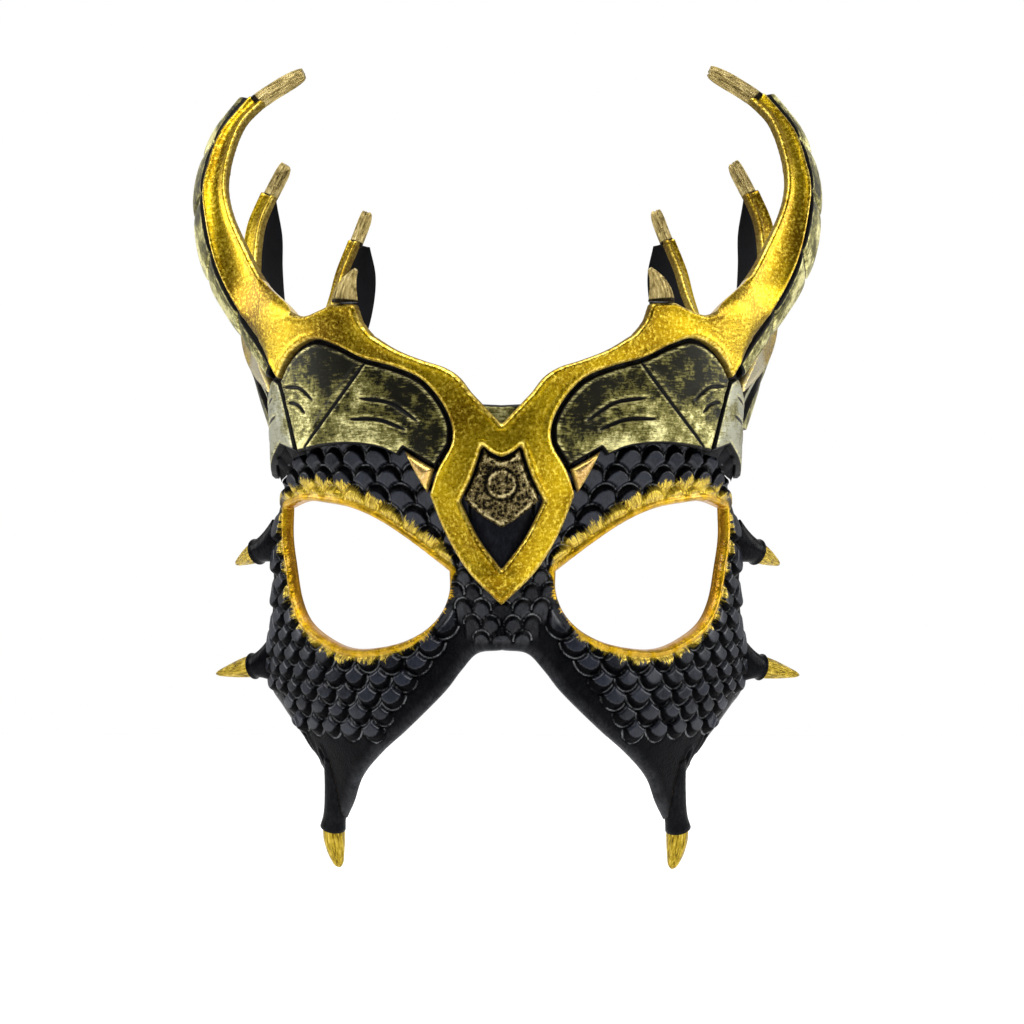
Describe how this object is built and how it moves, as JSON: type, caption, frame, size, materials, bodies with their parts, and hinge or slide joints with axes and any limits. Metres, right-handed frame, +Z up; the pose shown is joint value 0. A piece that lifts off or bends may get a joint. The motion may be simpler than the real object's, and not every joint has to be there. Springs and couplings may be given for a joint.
{
  "type": "leather dragon mask",
  "caption": "Moulded leather half mask of a dragon: black scaled face with eye openings, under a gold and bronze crown with curved horns swept up and back, worn on the face.",
  "frame": {"origin": "on the inside of the nose bridge, at the middle of the nose notch's top edge, where the mask sits on the wearer's nose", "axes": "+X to the right as seen from the front, +Y back into the head, +Z up the face"},
  "size_m": [0.1972, 0.182, 0.2456],
  "materials": {
    "black_leather": "black dyed leather, tooled with scales, half gloss",
    "gold_leather": "bright gold paint on moulded leather, hammered and rubbed",
    "bronze_leather": "antique bronze paint on moulded leather, dark mottled with rubbed edges",
    "dark_bronze_leather": "dark stippled bronze paint on leather",
    "pale_gold_leather": "pale copper gold paint on rolled leather, striated"
  },
  "bodies": {
    "root": {"face_shell": "black_leather", "crown_frame": "gold_leather", "cheek_spike_lower_right": "gold_leather", "cheek_spike_lower_left": "gold_leather", "cheek_spike_upper_right": "gold_leather", "cheek_spike_upper_left": "gold_leather", "jaw_claw_right": "gold_leather", "jaw_claw_left": "gold_leather", "mid_horn_right": "gold_leather", "mid_horn_left": "gold_leather", "back_horn_right": "gold_leather", "back_horn_left": "gold_leather", "bridge_strap": "bronze_leather", "brow_plate_right": "bronze_leather", "brow_plate_left": "bronze_leather", "temple_plate_right": "bronze_leather", "temple_plate_left": "bronze_leather", "horn_flank_right": "bronze_leather", "horn_flank_left": "bronze_leather", "mid_flank_right": "bronze_leather", "mid_flank_left": "bronze_leather", "back_flank_right": "bronze_leather", "back_flank_left": "bronze_leather", "medallion": "dark_bronze_leather", "brow_claw_right": "pale_gold_leather", "brow_claw_left": "pale_gold_leather", "spur_tip_right": "pale_gold_leather", "spur_tip_left": "pale_gold_leather", "horn_tip_right": "pale_gold_leather", "horn_tip_left": "pale_gold_leather", "mid_tip_right": "pale_gold_leather", "mid_tip_left": "pale_gold_leather", "back_tip_right": "pale_gold_leather", "back_tip_left": "pale_gold_leather"}
  },
  "joints": []
}
